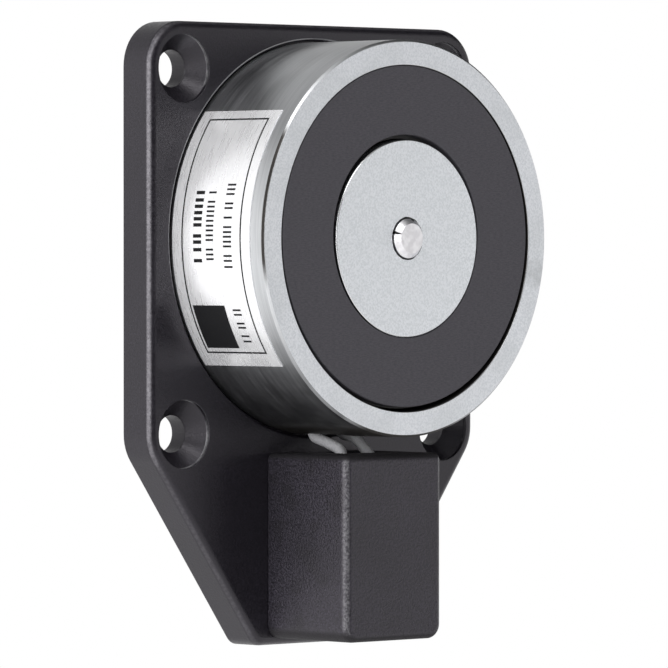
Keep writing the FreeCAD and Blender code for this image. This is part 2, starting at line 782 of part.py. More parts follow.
def make_rating_label():
    """Foil wrapped round the drum's left side."""
    foil = doc.addObject("Part::Cylinder", "label_outside")
    foil.setExpression("Radius", "places.pot_radius + sizes.label_thickness")
    drum = doc.addObject("Part::Cylinder", "label_inside")
    drum.setExpression("Radius", "places.pot_radius")
    for part in (foil, drum):
        part.setExpression("Angle", "sizes.label_angle")
        part.setExpression("Height", "places.face - sizes.plate_thickness - sizes.label_margin"
                                     " - sizes.label_front_gap")
    label = doc.addObject("Part::Cut", "label_cut")
    label.Base = foil
    label.Tool = drum
    half = value("label_angle") / 2
    round_axis = FreeCAD.Rotation(FRONT, 180 - half)
    label.Placement.Rotation = round_axis.multiply(TOWARDS_FRONT)
    label.setExpression("Placement.Base.y", "-(sizes.plate_thickness + sizes.label_margin)")
    return keep(label, "rating_label")


def arc_at(before, corner, after, radius):
    """Tangent arc of one radius at a corner of a route, as its first, middle and last point."""
    inward = (before - corner).normalize()
    outward = (after - corner).normalize()
    half = inward.getAngle(outward) / 2
    reach = radius / math.tan(half)
    centre = corner + (inward + outward).normalize() * (radius / math.sin(half))
    middle = centre + (corner - centre).normalize() * radius
    return corner + inward * reach, middle, corner + outward * reach


def route(points, radii):
    """Wire of straight runs joined by tangent arcs, with one radius for each inner point."""
    edges = []
    start = points[0]
    for index, radius in enumerate(radii, start=1):
        first, middle, last = arc_at(points[index - 1], points[index], points[index + 1], radius)
        if (first - start).Length > 1e-4:
            edges.append(Part.LineSegment(start, first).toShape())
        edges.append(Part.Arc(first, middle, last).toShape())
        start = last
    edges.append(Part.LineSegment(start, points[-1]).toShape())
    return Part.Wire(edges)


def round_rod(path, diameter):
    """Solid round rod along a wire."""
    edge = path.OrderedEdges[0]
    start = edge.valueAt(edge.FirstParameter)
    heading = edge.tangentAt(edge.FirstParameter)
    section = Part.Wire([Part.makeCircle(diameter / 2, start, heading)])
    return path.makePipeShell([section], True, False, 2)


def keep_shape(label, shape, position=FreeCAD.Vector(0, 0, 0)):
    """Feature that holds a shape made from the sheet's values."""
    feature = doc.addObject("Part::Feature", f"{label}_shape")
    feature.Shape = shape
    feature.Placement = FreeCAD.Placement(position, FreeCAD.Rotation())
    return keep(feature, label)


def point(across, depth, drop):
    """Point at a depth and a drop."""
    return FreeCAD.Vector(across, -depth, -drop)


def make_coil_lead(label, side, sags, entry):
    """Insulated lead from the winding, out below the drum and down into its terminal tube."""
    across = side * value("lead_spacing") / 2
    pole = side * value("pole")
    clearance = value("lead_diameter") / 2 + value("fit_gap")
    drop = math.sqrt((value("tape_radius") + clearance) ** 2 - across ** 2)
    leaving, middle, entering = [value("pot_radius") + value(sag) for sag in sags]
    stripped = value("tube_top") + value("fit_gap")
    points = [
        point(across, value("winding_back") + value("lead_diameter"), drop),
        point(across, value("lead_exit"), drop),
        point(across, value("lead_exit"), leaving),
        point(across, (value("lead_exit") + entry) / 2, middle),
        point(across, entry, entering),
        point(across, entry, value("cover_top") + value("lead_run_end")),
        point(pole, value("pole_axis"), value("block_top") - value("lead_tube_reach")),
        point(pole, value("pole_axis"), stripped),
    ]
    bend = value("lead_bend")
    path = route(points, [bend, bend, value("lead_wide_bend"), bend, bend, bend])
    insulation = round_rod(path, value("lead_diameter"))
    radius = value("conductor_diameter") / 2
    conductor = Part.makeCylinder(radius, value("conductor_length"), points[-1], DOWN)
    return keep_shape(label, insulation.fuse(conductor).removeSplitter())


def make_coil_leads():
    """The two leads; the right one leaves higher and enters the box further out."""
    entry = value("lead_entry")
    make_coil_lead("coil_lead_left", -1, ("left_exit_sag", "left_middle_sag", "left_entry_sag"), entry)
    make_coil_lead("coil_lead_right", 1, ("right_exit_sag", "right_middle_sag", "right_entry_sag"),
                   entry + value("right_entry_lead"))


def make_terminal_block():
    """Moulded two-pole block with wells for the terminal screws and a hole for its own screw."""
    body = new_body("terminal_block")
    front = new_sketch(body, "block_outline", "XZ_Plane", "sizes.plate_thickness")
    rectangle(front, "-places.block_side", "places.block_side", "-places.block_foot", "-places.block_top")
    block = pad(body, front, "sizes.block_depth")
    sides = edges_where(block, runs_in_depth)
    dress(body, "Fillet", block, sides, "Radius", "sizes.block_side_round")

    tubes = new_sketch(body, "tube_holes", "XY_Plane", "-places.tube_foot")
    entries = new_sketch(body, "wire_entries", "XY_Plane", "-places.block_foot")
    for side in ("-", ""):
        circle(tubes, f"{side}places.pole", "-places.pole_axis", "sizes.tube_diameter + 2 * sizes.tube_gap")
        circle(entries, f"{side}places.pole", "-places.pole_axis", "sizes.tube_bore + sizes.tube_gap")
    pocket(body, tubes, "places.tube_foot - places.tube_top", forward=True)
    pocket(body, entries, "sizes.block_height", forward=True)

    wells = new_sketch(body, "screw_wells", "XZ_Plane", "places.block_front")
    for across, along in terminal_screw_centres():
        circle(wells, across, along, "sizes.screw_well")
    pocket(body, wells, "sizes.block_depth - sizes.pole_depth")

    fixing = new_sketch(body, "fixing_hole", "XZ_Plane", "places.block_front")
    circle(fixing, "0", "-places.block_centre", "sizes.block_screw_diameter + 2 * sizes.head_gap")
    pocket(body, fixing, "sizes.block_depth")
    well = new_sketch(body, "fixing_well", "XZ_Plane", "places.block_front")
    circle(well, "0", "-places.block_centre", "sizes.block_screw_head + 2 * sizes.head_gap")
    pocket(body, well, "sizes.block_screw_inset + sizes.block_screw_head_length")
    return body


def terminal_screw_centres():
    """Expressions for the four terminal screws' places."""
    return [
        (f"{side}places.pole", f"-places.block_centre {row} sizes.terminal_screw_spacing / 2")
        for side in ("-", "")
        for row in ("+", "-")
    ]


def make_terminal_tube(label, side):
    """Brass tube of one pole, tapped for its two screws."""
    body = new_body(label)
    section = new_sketch(body, f"{label}_section", "XY_Plane", "-places.tube_foot")
    circle(section, f"{side}places.pole", "-places.pole_axis", "sizes.tube_diameter")
    circle(section, f"{side}places.pole", "-places.pole_axis", "sizes.tube_bore")
    pad(body, section, "places.tube_foot - places.tube_top")
    taps = new_sketch(body, f"{label}_taps", "XZ_Plane", "places.pole_axis + sizes.tube_diameter / 2")
    for across, along in terminal_screw_centres():
        if across.startswith("-") == (side == "-"):
            circle(taps, across, along, "sizes.terminal_screw_diameter + 2 * sizes.fit_gap")
    pocket(body, taps, "sizes.tube_diameter / 2")
    return body


def slotted_screw(tip, head_back, head_front, shank_radius, head_radius, axis):
    """Small cheese-head screw along the depth axis at (across, drop)."""
    across, drop = axis
    shank = Part.makeCylinder(shank_radius, head_back - tip, point(across, tip, drop), FRONT)
    head = Part.makeCylinder(head_radius, head_front - head_back, point(across, head_back, drop), FRONT)
    slot_width = value("small_drive_width")
    corner = point(across - head_radius, head_front, drop + slot_width / 2)
    slot = Part.makeBox(2 * head_radius, value("small_drive_depth"), slot_width, corner)
    return shank.fuse(head).removeSplitter().cut(slot)


def make_terminal_screws():
    """The four clamping screws, alike."""
    head_front = value("block_front") - value("terminal_screw_inset")
    head_back = head_front - value("terminal_screw_head_length")
    tip = value("pole_axis") + value("conductor_diameter") / 2 + value("fit_gap")
    screws = [
        slotted_screw(tip, head_back, head_front, value("terminal_screw_diameter") / 2,
                      value("terminal_screw_head") / 2, (side * value("pole"), drop))
        for side in (-1, 1)
        for drop in (value("block_centre") - value("terminal_screw_spacing") / 2,
                     value("block_centre") + value("terminal_screw_spacing") / 2)
    ]
    return keep_shape("terminal_screws", Part.makeCompound(screws))


def make_terminal_block_screw():
    """Screw that holds the block to the plate's web."""
    head_back = value("block_front") - value("block_screw_inset") - value("block_screw_head_length")
    screw = slotted_screw(value("pocket_depth"), head_back, head_back + value("block_screw_head_length"),
                          value("block_screw_diameter") / 2, value("block_screw_head") / 2,
                          (0, value("block_centre")))
    return keep_shape("terminal_block_screw", screw)


def make_suppression_diode():
    """Diode below the block, its leads bent up into both terminal tubes."""
    depth = value("pole_axis")
    drop = value("diode_drop")
    end = value("tube_foot") - value("diode_lead_entry")
    corners = [(-1, end), (-1, drop), (1, drop), (1, end)]
    points = [point(side * value("pole"), depth, level) for side, level in corners]
    leads = round_rod(route(points, [value("diode_lead_bend")] * 2), value("diode_lead_diameter"))
    length = value("diode_length")
    case = Part.makeCylinder(value("diode_diameter") / 2, length, point(-length / 2, depth, drop),
                             FreeCAD.Vector(1, 0, 0))
    return keep_shape("suppression_diode", case.fuse(leads).removeSplitter())


def make_cable_grommet():
    """Rubber grommet that grips the plate's web in the cable hole."""
    body = new_body("cable_grommet")
    bore = "sizes.grommet_bore / 2"
    waist = "sizes.grommet_waist / 2"
    flange = "sizes.grommet_flange / 2"
    back = "sizes.pocket_depth - sizes.grommet_gap"
    front = "sizes.plate_thickness + sizes.grommet_gap"
    turn(body, [
        (bore, f"{back} - sizes.grommet_lip"),
        (flange, f"{back} - sizes.grommet_lip"),
        (flange, back),
        (waist, back),
        (waist, front),
        (flange, front),
        (flange, f"{front} + sizes.grommet_lip"),
        (bore, f"{front} + sizes.grommet_lip"),
    ])
    body.setExpression("Placement.Base.z", "-places.cable_drop")
    return body


def make_all():
    """Builds every sub-part."""
    make_base_plate()
    make_terminal_cover()
    make_magnet_pot()
    make_magnet_core()
    make_coil_bobbin()
    make_coil_winding()
    make_winding_tape()
    make_cover_ring()
    make_ejector_pin()
    make_ejector_spring()
    make_magnet_fixing_screw()
    make_locating_pin()
    make_rating_label()
    make_coil_leads()
    make_terminal_block()
    make_terminal_tube("terminal_tube_left", "-")
    make_terminal_tube("terminal_tube_right", "")
    make_terminal_screws()
    make_terminal_block_screw()
    make_suppression_diode()
    make_cable_grommet()
    doc.recompute()


def check_all():
    """Stops if any object failed or any sub-part isn't a sound solid."""
    for item in doc.Objects:
        if {"Invalid", "Error"} & set(item.State):
            raise RuntimeError(f"{item.Label} failed: {item.State}")
    for piece in pieces:
        if piece.Shape.isNull() or not piece.Shape.isValid() or not piece.Shape.Solids:
            raise RuntimeError(f"{piece.Label} has no sound shape")


def write_all():
    """Writes one STEP file for each sub-part."""
    os.makedirs("parts", exist_ok=True)
    for piece in pieces:
        piece.Shape.exportStep(os.path.join("parts", f"{piece.Label}.step"))
        print(f"{piece.Label}: {len(piece.Shape.Solids)} solid(s), {piece.Shape.Volume:.1f} mm3")


make_all()
check_all()
write_all()
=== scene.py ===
import json
import math
import random

import bmesh
import bpy
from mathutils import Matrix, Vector


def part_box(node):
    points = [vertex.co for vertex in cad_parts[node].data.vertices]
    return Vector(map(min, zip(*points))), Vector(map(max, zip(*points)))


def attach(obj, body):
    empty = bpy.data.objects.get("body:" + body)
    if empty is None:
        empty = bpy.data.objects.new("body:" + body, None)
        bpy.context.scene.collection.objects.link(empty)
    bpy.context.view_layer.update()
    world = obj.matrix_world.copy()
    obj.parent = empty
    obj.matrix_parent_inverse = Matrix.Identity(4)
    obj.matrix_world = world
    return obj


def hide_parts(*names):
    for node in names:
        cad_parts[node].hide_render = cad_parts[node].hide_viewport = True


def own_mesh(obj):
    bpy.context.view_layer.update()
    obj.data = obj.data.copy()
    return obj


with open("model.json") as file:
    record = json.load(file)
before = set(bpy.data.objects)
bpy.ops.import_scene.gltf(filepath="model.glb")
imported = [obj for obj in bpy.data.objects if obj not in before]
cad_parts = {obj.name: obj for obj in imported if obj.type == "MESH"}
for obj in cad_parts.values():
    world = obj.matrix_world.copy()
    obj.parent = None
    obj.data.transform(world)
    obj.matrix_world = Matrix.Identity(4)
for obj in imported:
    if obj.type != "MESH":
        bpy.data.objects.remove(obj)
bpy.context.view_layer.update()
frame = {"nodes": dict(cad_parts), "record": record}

# Looks of an electromagnetic door holder, put round its CAD solids. The magnet's axis is the
# Y axis, the wall is the plane Y = 0 and the front faces -Y. Lengths are in metres, and MM turns
# millimetres into metres. Materials count in millimetres, and so do the sizes named for them.
MM = 0.001

# Camera, fitted to the photograph's circles and plate corners; lens and sensor in millimetres
VIEW_AZIMUTH = math.radians(44.044)
VIEW_PITCH = math.radians(0.768)
CAMERA_PLACE = Vector((-0.78175, -0.81990, -0.00192))
LENS = 340.3
SENSOR = 36

# Studio: softboxes and black cards stand round the holder and look at it. Turns and rises are in
# degrees, turns from straight in front and positive to the right.
SOFTBOXES = {
    "left_softbox": {"turn": -80, "rise": 4, "away": 1.5, "size": (1.45, 1.1), "radiance": 4.25},
    "top_softbox": {"turn": -35, "rise": 52, "away": 1.5, "size": (0.9, 0.7), "radiance": 3.5},
}
FLAGS = {
    "front_flag": {"turn": -10, "rise": 8, "away": 0.9, "size": (1.25, 0.95)},
    "right_flag": {"turn": 90, "rise": 42, "away": 1.0, "size": (1.9, 1.0)},
}
SKY_IN_GLOSS = 0.42
SKY_RISES = (0.30, 0.75)
MATT_LIGHT = 0.5
FLOOR_DROP = 0.30
FLOOR_SIZE = 3.2
FLOOR_GLOW = (0.35, 0.62)
FLOOR_GLOW_REACH = (400.0, 1300.0)

# Ejector spring, between its seat and the pin's collar
SPRING_WIRE = 0.8 * MM
SPRING_TURNS = 5
SPRING_STEPS = 28
WIRE_SIDES = 12

# Label print, as depths from the plate's face and degrees up from the drum's left side
LABEL_LINE = 0.34 * MM
LABEL_FRAME_DEPTHS = (2.65 * MM, 17.45 * MM)
LABEL_FRAME_ANGLES = (-34.8, 35.9)
LABEL_FIELD_DEPTHS = (3.4 * MM, 11.5 * MM)
LABEL_FIELD_ANGLES = (-33.0, -19.4)
INK_THICKNESS = 0.012 * MM
INK_STEP = 1.0

# Rows of strokes on the label: depth of the middle, height and width of a stroke, all three in
# millimetres, and the angles that the row starts and ends at
STROKE_ROWS = (
    (6.7, 2.1, 0.62, 13.6, -7.6),
    (9.8, 1.9, 0.36, 13.4, -7.4),
    (14.3, 2.1, 0.36, 15.6, -8.5),
    (14.3, 2.0, 0.36, -20.5, -33.0),
)
STROKE_GAPS = (0.45, 0.5, 0.7, 0.5, 1.3)
STROKE_SEED = 7

# Colours laid over the plain surfaces
VIOLET_CAST = (1.05, 0.92, 1.28)
VIOLET_SHEEN = (0.97, 0.93, 1.0, 1)
# Edge wear together with a painted highlight on the plastic's hard edges
WORN_AND_LIT_BLACK = (0.085, 0.083, 0.09)
# Painted highlight on the plate's front edge
PLATE_EDGE_HIGHLIGHT = (0.135, 0.130, 0.142)
# Painted highlight on the seat's edge and on the screw holes' lips
LIP_HIGHLIGHT = (0.30, 0.30, 0.31)
# Painted highlight on the cover's upright corners
COVER_CORNER_HIGHLIGHT = (0.11, 0.108, 0.115)
# Darker patches on the cover's faces that look left or right
DARK_SIDE_PATCH = (0.008, 0.007, 0.009)
# Painted shade on the cover's top, which lies under the drum
SHADED_COVER = (0.004, 0.0035, 0.0045)
CLOUDED_STEEL = (0.50, 0.52, 0.53)
# Painted shade on the pot's side and underside
PAINTED_SHADE_STEEL = (0.11, 0.11, 0.115)
SMUDGED_STEEL = (0.30, 0.31, 0.31)
# Painted dark reflection on the pot's chamfer and painted shade in its bore and round the leads
PAINTED_DARK_STEEL = (0.045, 0.042, 0.04)
SPECK = (0.16, 0.15, 0.15)
# Painted highlight on the steel's hard edges
STEEL_EDGE_HIGHLIGHT = (0.88, 0.88, 0.89)
# Painted shade in the gap round the pin at the core's bore
PAINTED_MOUTH_SHADE = (0.018, 0.018, 0.018)
WORN_BOARD = (0.12, 0.12, 0.125)
NICKED_PIN = (0.02, 0.02, 0.02)

# Dark and pale tones between which a surface's grain varies
POT_SIDE = ((0.50, 0.51, 0.525), (0.62, 0.63, 0.645))
POT_RIM = ((0.61, 0.63, 0.66), (0.77, 0.785, 0.815))
CORE_SIDE = ((0.46, 0.47, 0.48), (0.66, 0.67, 0.68))
CORE_FACE = ((0.62, 0.645, 0.67), (0.80, 0.82, 0.85))
FIBRE_BOARD = ((0.047, 0.044, 0.053), (0.063, 0.060, 0.070))
FOIL = ((0.87, 0.87, 0.885), (0.925, 0.925, 0.94))
INK = ((0.006, 0.006, 0.007), (0.02, 0.02, 0.021))
PIN = ((0.70, 0.69, 0.71), (0.86, 0.85, 0.87))
INSULATION = ((0.37, 0.37, 0.385), (0.44, 0.44, 0.455))
COPPER = ((0.16, 0.05, 0.02), (0.72, 0.34, 0.17))
SPRING_STEEL = ((0.32, 0.33, 0.35), (0.48, 0.49, 0.51))
ZINC = ((0.55, 0.56, 0.57), (0.74, 0.75, 0.76))
BRASS = ((0.60, 0.42, 0.16), (0.80, 0.60, 0.28))
BLACK_POLYMER = ((0.012, 0.011, 0.012), (0.020, 0.019, 0.020))
YELLOW_FILM = ((0.62, 0.42, 0.06), (0.78, 0.56, 0.10))
NATURAL_POLYMER = ((0.68, 0.67, 0.60), (0.80, 0.79, 0.73))

# Noise varies round 0.5 and seldom leaves the wider of these two ranges
WIDE = (0.3, 0.7)
NARROW = (0.35, 0.65)
# How far a face has to look one way before it counts as facing it
FACING = (0.75, 0.9)
BEVEL_SAMPLES = 6


def span(node):
    """Size of a CAD node along X, Y and Z."""
    low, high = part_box(node)
    return high - low


def named_row(rows, name):
    """The row of that name in one of the record's lists."""
    return next(row for row in rows if row["name"] == name)


PLATE_FACE = -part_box("base_plate")[0].y
DRUM_RADIUS = span("magnet_pot").x / 2
LABEL_RADIUS = -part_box("rating_label")[0].x

# Sizes for the materials, in millimetres. The smudge on the rim and the nick on the pin are given
# as how far right, how high and how wide.
PLATE_FRONT = -PLATE_FACE / MM
PLATE_SIDE = span("base_plate").x / 2 / MM
POT_RADIUS = DRUM_RADIUS / MM
POT_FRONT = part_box("magnet_pot")[0].y / MM
POT_CHAMFER = 0.4
RIM_WIDTH = 4.5
POT_BORE = POT_RADIUS - RIM_WIDTH
SEAT_EDGE = POT_RADIUS + 0.66
SCREWS = named_row(frame["record"]["mounts"], "wall_screws")
SCREW_COLUMN = SCREWS["dims"]["spacing_x_mm"] / 2
SCREW_ROW = SCREWS["dims"]["spacing_y_mm"] / 2
SCREW_MIDDLE = SCREWS["pos_m"][2] / MM
BORE_RADIUS = SCREWS["dims"]["hole_r_mm"]
SINK_RADIUS = 6.0
THREAD_PITCH = 1.5
COPPER_PITCH = 0.32
RIM_SMUDGE = (32.0, -6.3, 3.2)
PIN_NICK = (0.85, 3.3, 0.42)
PIN_CUT_TURN = math.radians(17)
PIN_CUT_START = 2.5


class Tree:
    """Node tree, with short ways to add to it."""

    def __init__(self, tree):
        self.tree = tree

    def node(self, kind, **settings):
        """New node with the given settings."""
        made = self.tree.nodes.new(kind)
        for name, setting in settings.items():
            setattr(made, name, setting)
        return made

    def feed(self, socket, source):
        """Links an output to a socket, or sets its number."""
        if isinstance(source, bpy.types.NodeSocket):
            self.tree.links.new(source, socket)
        else:
            socket.default_value = source

    def math(self, operation, first, second=0.0):
        """Result of one sum."""
        made = self.node("ShaderNodeMath", operation=operation)
        self.feed(made.inputs[0], first)
        self.feed(made.inputs[1], second)
        return made.outputs[0]

    def both(self, first, *others):
        """Product of several masks or numbers."""
        for other in others:
            first = self.math("MULTIPLY", first, other)
        return first

    def blend(self, factor, first, second):
        """Mix of two numbers."""
        made = self.node("ShaderNodeMix")
        for socket, source in zip(made.inputs[:1] + made.inputs[2:4], (factor, first, second)):
            self.feed(socket, source)
        return made.outputs[0]

    def spread(self, source, low, high, first, second, curve="SMOOTHSTEP"):
        """Maps low..high onto first..second, without going past."""
        made = self.node("ShaderNodeMapRange", interpolation_type=curve)
        for socket, number in zip(made.inputs, (source, low, high, first, second)):
            self.feed(socket, number)
        return made.outputs[0]

    def above(self, source, low, high):
        """Mask that rises from 0 to 1 between two numbers."""
        return self.spread(source, low, high, 0.0, 1.0)

    def below(self, source, low, high):
        """Mask that falls from 1 to 0 between two numbers."""
        return self.spread(source, low, high, 1.0, 0.0)

    def split(self, vector):
        """The three numbers of a vector."""
        made = self.node("ShaderNodeSeparateXYZ")
        self.feed(made.inputs[0], vector)
        return made.outputs

    def seen_background(self):
        """Mask of rays from the camera, from gloss and from glass."""
        path = self.node("ShaderNodeLightPath").outputs
        seen = self.math("MAXIMUM", path["Is Camera Ray"], path["Is Glossy Ray"])
        return self.math("MAXIMUM", seen, path["Is Transmission Ray"])


class Finish(Tree):
    """Material. Its coordinates are millimetres in the object's own frame."""

    def __init__(self, name, **constants):
        self.material = bpy.data.materials.new(name)
        self.material.use_nodes = True
        super().__init__(self.material.node_tree)
        self.shader = self.tree.nodes["Principled BSDF"]
        for socket, number in constants.items():
            self.feed(self.shader.inputs[socket.replace("_", " ")], number)
        scaled = self.node("ShaderNodeVectorMath", operation="SCALE")
        self.feed(scaled.inputs[0], self.node("ShaderNodeTexCoord").outputs["Object"])
        self.feed(scaled.inputs["Scale"], 1 / MM)
        self.place = scaled.outputs[0]
        self.across, self.depth, self.height = self.split(self.place)

    def noise(self, scale, detail=3.0, stretch=(1, 1, 1)):
        """Noise with about scale features to the millimetre."""
        stretched = self.node("ShaderNodeVectorMath", operation="MULTIPLY")
        self.feed(stretched.inputs[0], self.place)
        self.feed(stretched.inputs[1], stretch)
        made = self.node("ShaderNodeTexNoise")
        self.feed(made.inputs["Vector"], stretched.outputs[0])
        self.feed(made.inputs["Scale"], scale)
        self.feed(made.inputs["Detail"], detail)
        return made.outputs["Fac"]

    def length(self, first, second):
        """Length of a flat vector."""
        return self.math("SQRT", self.math("ADD", self.both(first, first), self.both(second, second)))

    def distance(self, across, height):
        """Distance, seen from the front, from a point on the face."""
        return self.length(self.math("SUBTRACT", self.across, across),
                           self.math("SUBTRACT", self.height, height))

    def radius(self):
        """Distance from the magnet's axis."""
        return self.distance(0.0, 0.0)

    def turn_from_left(self):
        """Angle about the magnet's axis, measured up from the left side."""
        return self.math("ARCTAN2", self.height, self.both(self.across, -1.0))

    def screw_distance(self):
        """Distance, seen from the front, from the nearest wall screw's axis."""
        aside = self.math("SUBTRACT", self.math("ABSOLUTE", self.across), SCREW_COLUMN)
        row = self.math("ABSOLUTE", self.math("SUBTRACT", self.height, SCREW_MIDDLE))
        return self.length(aside, self.math("SUBTRACT", row, SCREW_ROW))

    def facing(self):
        """How far a face looks across, out and up, each without its sign."""
        normal = self.node("ShaderNodeNewGeometry").outputs["Normal"]
        return [self.math("ABSOLUTE", part) for part in self.split(normal)]

    def facing_side(self):
        """Mask of faces that look to the left or right."""
        return self.above(self.facing()[0], *FACING)

    def facing_front(self):
        """Mask of faces that look along the magnet's axis."""
        return self.above(self.facing()[1], *FACING)

    def corner_turn(self):
        """0 on faces to the front or side, up to 0.5 halfway round the upright corner between them."""
        across, out = self.facing()[:2]
        return self.both(across, out)

    def edge_turn(self):
        """Mask of the outer half of roundings between the front and any side."""
        out = self.facing()[1]
        return self.both(self.above(out, 0.12, 0.38), self.below(out, 0.6, 0.85))

    def band(self, source, middle, half_width):
        """Mask of a thin soft band round one number."""
        off = self.math("ABSOLUTE", self.math("SUBTRACT", source, middle))
        return self.below(off, 0.5 * half_width, 1.5 * half_width)

    def spot(self, across, height, size):
        """Mask of one soft round spot."""
        return self.below(self.distance(across, height), 0.6 * size, size)

    def specks(self, spacing, size):
        """Mask of small round spots."""
        made = self.node("ShaderNodeTexVoronoi")
        self.feed(made.inputs["Vector"], self.place)
        self.feed(made.inputs["Scale"], 1 / spacing)
        return self.below(made.outputs["Distance"], size / spacing, 1.6 * size / spacing)

    def tint(self, factor, first, second):
        """Mix of two colours, each given as colour or output."""
        made = self.node("ShaderNodeMix", data_type="RGBA")
        self.feed(made.inputs[0], factor)
        for socket, source in ((made.inputs[6], first), (made.inputs[7], second)):
            self.feed(socket, source if isinstance(source, bpy.types.NodeSocket) else (*source, 1))
        return made.outputs[2]

    def paint(self, colour, *layers):
        """Colour under layers that are laid on in turn, each a mask and a colour."""
        for mask, tone in layers:
            colour = self.tint(mask, colour, tone)
        return colour

    def rounded(self, radius):
        """Normal with edges rounded by a radius in millimetres, and a mask of those edges."""
        bevel = self.node("ShaderNodeBevel", samples=BEVEL_SAMPLES)
        self.feed(bevel.inputs["Radius"], radius * MM)
        compare = self.node("ShaderNodeVectorMath", operation="DOT_PRODUCT")
        self.feed(compare.inputs[0], bevel.outputs[0])
        self.feed(compare.inputs[1], self.node("ShaderNodeNewGeometry").outputs["Normal"])
        return bevel.outputs[0], self.above(compare.outputs["Value"], 0.97, 0.80)

    def bump(self, height, distance, normal=None):
        """Normal bumped by a height of that many millimetres."""
        made = self.node("ShaderNodeBump")
        self.feed(made.inputs["Height"], height)
        self.feed(made.inputs["Distance"], distance * MM)
        if normal:
            self.feed(made.inputs["Normal"], normal)
        return made.outputs[0]

    def finish(self, colour=None, roughness=None, normal=None):
        """Feeds the shader and returns the material."""
        for name, source in (("Base Color", colour), ("Roughness", roughness), ("Normal", normal)):
            if source is not None:
                self.feed(self.shader.inputs[name], source)
        return self.material


def moulded_black(name, tone, contrast, grain_depth, rough):
    """Black spark-textured plastic with its fine grain, as a finish to add to."""
    skin = Finish(name, IOR=1.5, Specular_Tint=VIOLET_SHEEN)
    grain = skin.noise(2.6, 4)
    patches = skin.noise(1.4, 5, (1.0, 1.0, 2.4))
    mottle = skin.blend(0.3, grain, patches)
    dark = tuple((1 - contrast) * tone * part for part in VIOLET_CAST)
    pale = tuple((1 + contrast) * tone * part for part in VIOLET_CAST)
    normal, edges = skin.rounded(0.25)
    # Hard edges get a paler tint: edge wear together with a painted highlight
    worn_and_lit_edge = skin.both(edges, skin.spread(skin.noise(1.6, 3), *NARROW, 0.1, 0.7))
    colour = skin.paint(dark, (skin.above(mottle, 0.40, 0.60), pale),
                        (skin.spread(skin.noise(0.06, 3), 0.35, 0.7, 0.0, 0.5), dark),
                        (worn_and_lit_edge, WORN_AND_LIT_BLACK))
    roughness = skin.spread(mottle, 0.38, 0.62, *rough)
    return skin, colour, roughness, skin.bump(mottle, grain_depth, normal)


def front_edge_highlight(skin):
    """Mask of the painted highlight on the plate's front edge, strongest along its upright sides."""
    outside = skin.both(skin.above(skin.radius(), SEAT_EDGE + 0.5, SEAT_EDGE + 0.9),
                        skin.above(skin.screw_distance(), SINK_RADIUS + 0.3, SINK_RADIUS + 0.7))
    aside = skin.math("ABSOLUTE", skin.across)
    upright = skin.spread(aside, PLATE_SIDE - 3.0, PLATE_SIDE - 1.4, 0.35, 1.0)
    highlight_patches = skin.spread(skin.noise(1.8, 4), 0.36, 0.64, 0.45, 0.95)
    return skin.both(skin.edge_turn(), outside, upright, highlight_patches)


def lip_highlights(skin):
    """Mask of the painted highlights on the edge of the drum's seat and on the lips of the screw holes.
    """
    fore = skin.below(skin.depth, 0.57 * PLATE_FRONT, 0.43 * PLATE_FRONT)
    seat = skin.both(skin.band(skin.radius(), SEAT_EDGE, 0.11), fore,
                     skin.spread(skin.noise(0.05, 2), 0.35, 0.6, 0.25, 1.0),
                     skin.above(skin.height, -14.0, -2.0))
    sink = skin.screw_distance()
    lips = skin.math("MAXIMUM", skin.band(sink, SINK_RADIUS, 0.05), skin.band(sink, BORE_RADIUS, 0.05))
    inside = skin.above(skin.depth, PLATE_FRONT + 0.1, PLATE_FRONT + 0.4)
    patchy = skin.spread(skin.noise(0.25, 2), 0.42, 0.64, 0.0, 0.6)
    return skin.math("MAXIMUM", seat, skin.both(lips, inside, fore, patchy))


def plate_plastic(name):
    """The plate's plastic, with a painted highlight on its front edge and painted highlights on its
    lips.
    """
    skin, colour, roughness, normal = moulded_black(name, 0.010, 0.30, 0.05, (0.30, 0.42))
    colour = skin.paint(colour, (front_edge_highlight(skin), PLATE_EDGE_HIGHLIGHT), (lip_highlights(skin), LIP_HIGHLIGHT))
    return skin.finish(colour, roughness, normal)


def cover_plastic(name):
    """The cover's plastic: painted highlights on its upright corners, darker patches on its sides, and
    painted shade on its top, which is also made matt.
    """
    skin, colour, roughness, normal = moulded_black(name, 0.0165, 0.52, 0.16, (0.34, 0.46))
    # Painted highlight on the upright corners
    corner_highlight = skin.both(skin.above(skin.corner_turn(), 0.20, 0.46),
                       skin.spread(skin.noise(2.2, 4), 0.38, 0.62, 0.15, 0.9))
    # Darker patches on the faces that look left or right
    dark_patches = skin.both(skin.facing_side(), skin.spread(skin.noise(0.22, 3), 0.52, 0.66, 0.0, 0.55))
    # Painted shade on the upward faces under the drum; they are made matt too
    top = skin.above(skin.facing()[2], 0.12, 0.55)
    colour = skin.paint(colour, (corner_highlight, COVER_CORNER_HIGHLIGHT), (dark_patches, DARK_SIDE_PATCH), (top, SHADED_COVER))
    return skin.finish(colour, skin.blend(top, roughness, 0.75), normal)


def steel_surface(skin, side_tones, front_tones, side_rough, front_rough):
    """Colour, roughness and height of steel: rings where it was turned, even grain where ground."""
    front = skin.facing_front()
    grain = skin.noise(3.0, 3)
    fine = skin.noise(1.0, 4, (0.10, 6.0, 0.10))
    coarse = skin.noise(1.0, 3, (0.05, 1.3, 0.05))
    rings = skin.blend(0.45, fine, coarse)
    turned = skin.tint(skin.above(rings, 0.38, 0.62), *side_tones)
    ground = skin.tint(skin.above(grain, *NARROW), *front_tones)
    roughness = skin.blend(front, skin.spread(rings, *WIDE, *side_rough),
                           skin.spread(grain, *WIDE, *front_rough))
    return skin.tint(front, turned, ground), roughness, skin.blend(front, rings, grain)


